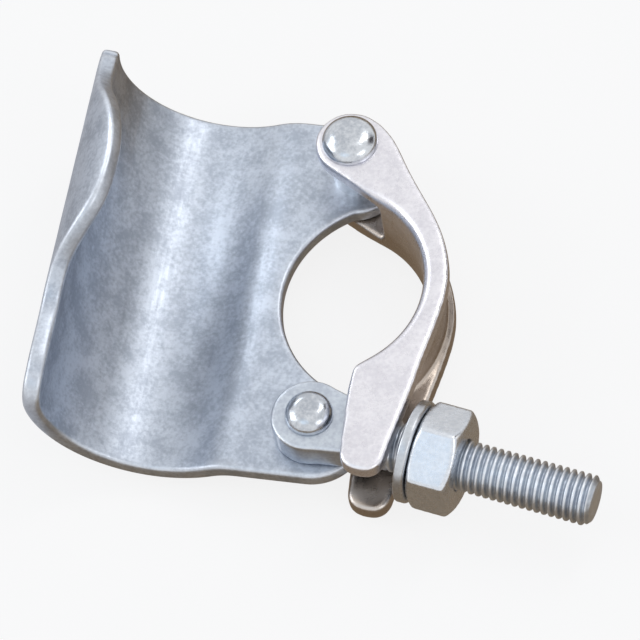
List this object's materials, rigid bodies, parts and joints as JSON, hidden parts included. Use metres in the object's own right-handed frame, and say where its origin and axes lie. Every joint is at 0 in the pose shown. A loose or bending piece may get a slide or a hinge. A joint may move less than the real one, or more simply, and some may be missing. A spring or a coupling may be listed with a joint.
{
  "type": "scaffold putlog coupler",
  "caption": "Pressed steel coupler that holds a putlog tube in a curled trough and grips a ledger tube across it with a hinged flap, eye bolt and nut.",
  "frame": {"origin": "on the putlog tube's axis, level with the ledger tube's axis", "axes": "+Y along the putlog tube, +X from the putlog tube to the ledger tube, +Z the way the trough opens, which is also the ledger tube's axis"},
  "size_m": [0.132, 0.1001, 0.0548],
  "materials": {
    "body_zinc": "bright zinc plate over pressed steel, faintly mottled",
    "flap_zinc": "bright zinc plate over pressed steel",
    "rivet_zinc": "bright zinc plate, hammered head",
    "bolt_zinc": "bright zinc plate, rolled thread",
    "washer_zinc": "bright zinc plate",
    "nut_zinc": "bright zinc plate, machined flats"
  },
  "bodies": {
    "body": {"body_plate": "body_zinc", "hinge_rivet": "rivet_zinc", "bolt_rivet": "rivet_zinc"},
    "flap": {"flap": "flap_zinc"},
    "bolt": {"eye_bolt": "bolt_zinc"},
    "washer": {"washer": "washer_zinc"},
    "nut": {"nut": "nut_zinc"}
  },
  "joints": [
    {"name": "bolt_swing", "type": "hinge", "parent": "body", "child": "bolt", "pos_m": [0.035, -0.036, -0.01555], "axis": [0, 0, 1], "range_deg": [-100, 6]},
    {"name": "washer_slide", "type": "slide", "parent": "bolt", "child": "washer", "axis": [0.9848, -0.1736, 0], "range_m": [0, 0.03115]},
    {"name": "nut_spin", "type": "hinge", "parent": "washer", "child": "nut", "pos_m": [0.035, -0.036, -0.01555], "axis": [0.9848, -0.1736, 0], "range_deg": [0, 6387]},
    {"name": "flap_swing", "type": "hinge", "parent": "body", "child": "flap", "pos_m": [0.0327, 0.0332, -0.01555], "axis": [0, 0, 1], "range_deg": [0, 27]}
  ],
  "couplings": [
    {"joint": "washer_slide", "follows": "nut_spin", "m_per_rad": 0.00027852},
    {"joint": "flap_swing", "follows": "nut_spin", "ratio": 0.0042258}
  ]
}
